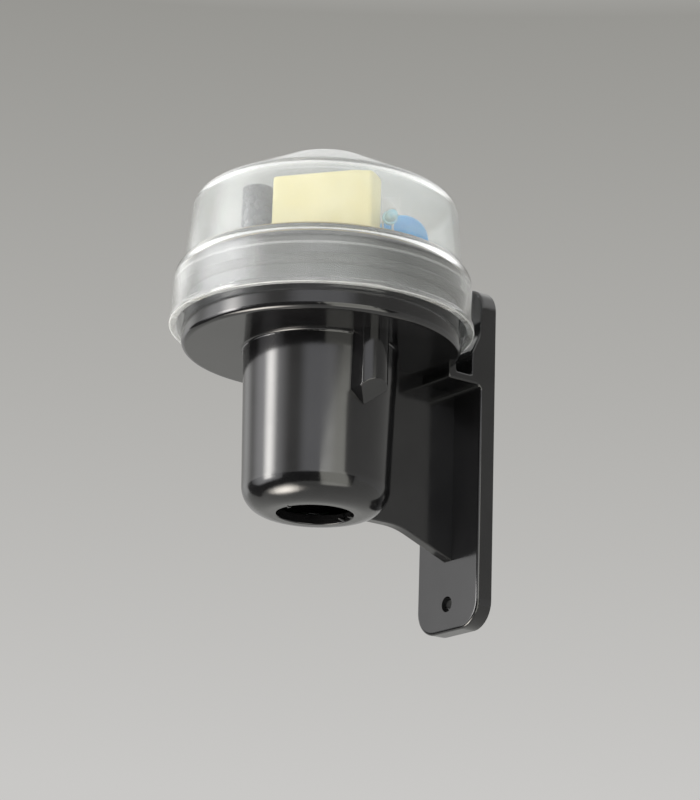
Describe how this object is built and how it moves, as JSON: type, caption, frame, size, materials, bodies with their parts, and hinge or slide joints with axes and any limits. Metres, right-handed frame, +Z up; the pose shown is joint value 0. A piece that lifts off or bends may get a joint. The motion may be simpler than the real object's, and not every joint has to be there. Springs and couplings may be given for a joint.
{
  "type": "photocell switch",
  "caption": "Outdoor dusk switch: a clear domed cover over a light sensor and its circuit board, on a black cup and stem with a wall plate.",
  "frame": {"origin": "middle of the wall plate's back face, on the wall plane", "axes": "+Z up along the stem's axis and the wall, +Y into the wall, -Y out from the wall towards the viewer in front"},
  "size_m": [0.08, 0.0881, 0.1225],
  "materials": {
    "black_plastic": "glossy moulded polycarbonate, near black",
    "clear_plastic": "clear moulded polycarbonate, faintly milky",
    "seal_rubber": "matt dark rubber",
    "board_laminate": "paper laminate, brownish, satin",
    "plated_steel": "zinc plated",
    "cream_plastic": "satin flame retardant plastic case",
    "dark_sleeve": "shrunk plastic sleeve, glossy",
    "blue_epoxy": "dipped epoxy coating",
    "sensor_resin": "clear cast resin",
    "relay_case": "satin plastic case",
    "black_epoxy": "moulded epoxy, matt",
    "diode_glass": "glassy orange bead",
    "cement_coat": "flameproof cement coating, grey green",
    "resistor_coat": "lacquered, beige",
    "ceramic_coat": "dipped phenolic coating, orange brown",
    "terminal_plastic": "satin moulded polyamide, green",
    "clamp_brass": "tin plated brass"
  },
  "bodies": {
    "root": {"housing": "black_plastic", "dome_cover": "clear_plastic", "cover_seal": "seal_rubber", "circuit_board": "board_laminate", "board_screws": "plated_steel", "terminal_screws": "plated_steel", "film_capacitor": "cream_plastic", "electrolytic_capacitor": "dark_sleeve", "varistor": "blue_epoxy", "light_sensor": "sensor_resin", "relay": "relay_case", "bridge_rectifier": "black_epoxy", "driver_transistor": "black_epoxy", "flyback_diode": "black_epoxy", "zener_diode": "diode_glass", "inrush_resistor": "cement_coat", "bleed_resistor": "resistor_coat", "bias_resistor": "resistor_coat", "filter_capacitor": "ceramic_coat", "terminal_block": "terminal_plastic", "terminal_clamps": "clamp_brass"}
  },
  "joints": []
}
